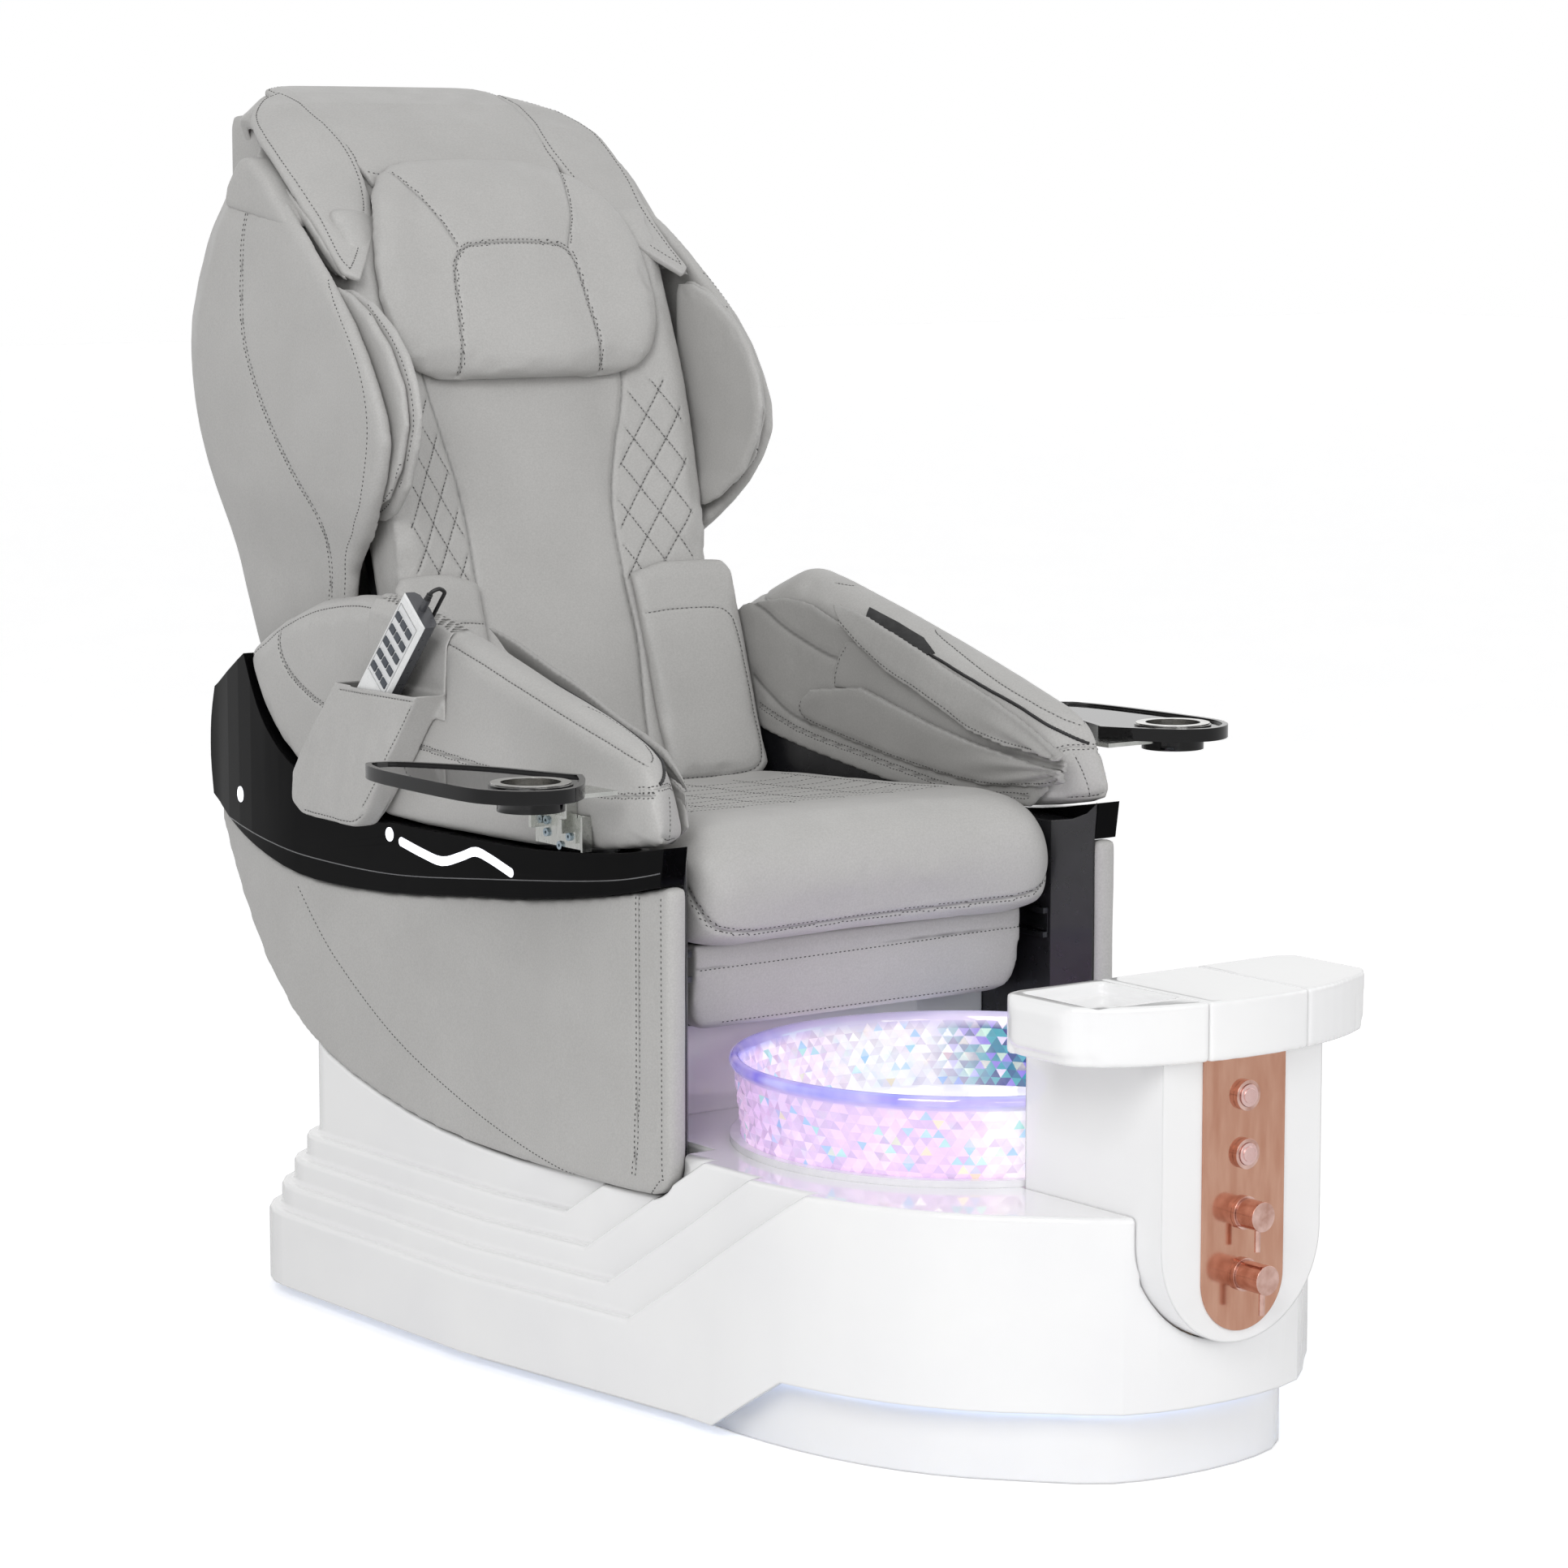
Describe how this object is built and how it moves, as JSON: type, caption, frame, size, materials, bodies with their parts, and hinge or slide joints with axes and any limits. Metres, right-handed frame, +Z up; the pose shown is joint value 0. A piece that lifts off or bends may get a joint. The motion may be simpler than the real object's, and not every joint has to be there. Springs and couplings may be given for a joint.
{
  "type": "pedicure spa chair",
  "caption": "Pedicure spa chair: reclining massage chair on rails over a moulded base with a faceted glass foot bowl, footrest pedestal with taps, folding arm trays and pocket handset.",
  "frame": {"origin": "on the floor in the plane of symmetry, on the underside of the plinth", "axes": "+Z up, the chair faces -Y, +X is towards the left hand of the person in it"},
  "size_m": [1.094, 1.8525, 1.498],
  "materials": {
    "bowl_glass": "gem cut, iridescent",
    "box_dark": "moulded",
    "braided_hose": "braided",
    "copper_plate": "brushed, copper tint",
    "cord_black": "satin",
    "frame_steel": "black powder coat",
    "gelcoat": "high gloss",
    "gloss_black": "piano gloss",
    "handset_white": "satin",
    "key_rubber": "matt",
    "leather_grey": "smooth grain, satin",
    "leather_grey_dark": "smooth grain, satin",
    "led_diffuser": "milky, lit",
    "motor_grey": "satin",
    "moulding_black": "fine texture",
    "pump_black": "moulded",
    "rail_black": "satin",
    "ring_white": "gloss",
    "roller_amber": "satin",
    "rose_cap": "satin rose",
    "rose_chrome": "polished rose gold",
    "runner_alu": "mill",
    "screw_steel": "bright",
    "stainless": "brushed",
    "timber_board": "raw ply",
    "tray_black": "gloss rim, satin dish",
    "zinc_steel": "zinc plated"
  },
  "bodies": {
    "base": {"base_shell": "gelcoat", "chassis_board": "timber_board", "plinth": "gelcoat", "plinth_light": "led_diffuser", "bowl": "bowl_glass", "bowl_ring": "ring_white", "bowl_drain": "stainless", "jet_pump": "pump_black", "pedestal": "gelcoat", "footrest_centre": "gelcoat", "footrest_left": "gelcoat", "footrest_right": "gelcoat", "control_panel": "copper_plate", "button_bezels": "rose_chrome", "valve_stems": "rose_chrome", "supply_hoses": "braided_hose", "chair_frame": "frame_steel", "control_box": "box_dark", "side_panel_left": "leather_grey", "side_panel_right": "leather_grey", "arm_inners": "moulding_black", "arm_band_left": "gloss_black", "arm_band_right": "gloss_black", "arm_lights": "led_diffuser", "arm_cushion_left": "leather_grey", "arm_cushion_right": "leather_grey", "arm_airbags": "leather_grey_dark", "tray_brackets": "zinc_steel", "bracket_screws": "screw_steel", "remote_pocket": "leather_grey", "rails_fixed": "rail_black", "seat_actuator": "motor_grey", "rear_cover": "gelcoat"},
    "seat": {"seat_frame": "frame_steel", "rails_moving": "runner_alu", "seat_cushion": "leather_grey", "calf_panel": "leather_grey", "recline_motor": "motor_grey"},
    "backrest": {"backrest_frame": "frame_steel", "back_shell": "leather_grey", "back_cushion": "leather_grey", "lumbar_pads": "leather_grey", "pillow": "leather_grey", "hood": "leather_grey", "shoulder_pads": "leather_grey"},
    "carriage": {"massage_carriage": "frame_steel"},
    "rollers": {"massage_rollers": "roller_amber"},
    "tray_left_assembly": {"tray_left": "tray_black", "tray_arm_left": "zinc_steel", "cup_left": "stainless"},
    "tray_right_assembly": {"tray_right": "tray_black", "tray_arm_right": "zinc_steel", "cup_right": "stainless"},
    "jet_button_cap": {"jet_button": "rose_cap"},
    "drain_button_cap": {"drain_button": "rose_cap"},
    "flow_lever": {"flow_knob": "rose_chrome"},
    "temp_lever": {"temp_knob": "rose_chrome"},
    "handset_unit": {"handset": "handset_white", "handset_cord": "cord_black"},
    "keypad": {"handset_keys": "key_rubber"}
  },
  "joints": [
    {"name": "seat_slide", "type": "slide", "parent": "base", "child": "seat", "axis": [0, -1, 0], "range_m": [0, 0.1]},
    {"name": "backrest_recline", "type": "hinge", "parent": "seat", "child": "backrest", "pos_m": [0, 0.54, 0.52], "axis": [-1, 0, 0], "range_deg": [0, 15]},
    {"name": "massage_travel", "type": "slide", "parent": "backrest", "child": "carriage", "axis": [0, 0.2974, 0.9548], "range_m": [0, 0.45]},
    {"name": "roller_turn", "type": "hinge", "parent": "carriage", "child": "rollers", "pos_m": [0, 0.60157, 0.63698], "axis": [1, 0, 0], "continuous": true},
    {"name": "tray_left_fold", "type": "hinge", "parent": "base", "child": "tray_left_assembly", "pos_m": [0.3535, 0.056, 0.691], "axis": [0, -1, 0], "range_deg": [0, 70]},
    {"name": "tray_right_fold", "type": "hinge", "parent": "base", "child": "tray_right_assembly", "pos_m": [-0.3535, 0.056, 0.691], "axis": [0, 1, 0], "range_deg": [0, 70]},
    {"name": "jet_button_press", "type": "slide", "parent": "base", "child": "jet_button_cap", "axis": [0, 1, 0], "range_m": [0, 0.003], "stiffness_N_per_m": 600},
    {"name": "drain_button_press", "type": "slide", "parent": "base", "child": "drain_button_cap", "axis": [0, 1, 0], "range_m": [0, 0.003], "stiffness_N_per_m": 600},
    {"name": "flow_turn", "type": "hinge", "parent": "base", "child": "flow_lever", "pos_m": [0, -0.745, 0.294], "axis": [0, 1, 0], "range_deg": [0, 90]},
    {"name": "temp_turn", "type": "hinge", "parent": "base", "child": "temp_lever", "pos_m": [0, -0.745, 0.227], "axis": [0, 1, 0], "range_deg": [-60, 60]},
    {"name": "handset_lift", "type": "slide", "parent": "base", "child": "handset_unit", "axis": [0, -0.6691, 0.7431], "range_m": [0, 0.1]},
    {"name": "keypad_press", "type": "slide", "parent": "handset_unit", "child": "keypad", "axis": [1, 0, 0], "range_m": [0, 0.0008], "stiffness_N_per_m": 800}
  ],
  "couplings": [
    {"joint": "backrest_recline", "follows": "seat_slide", "rad_per_m": 2.617}
  ]
}
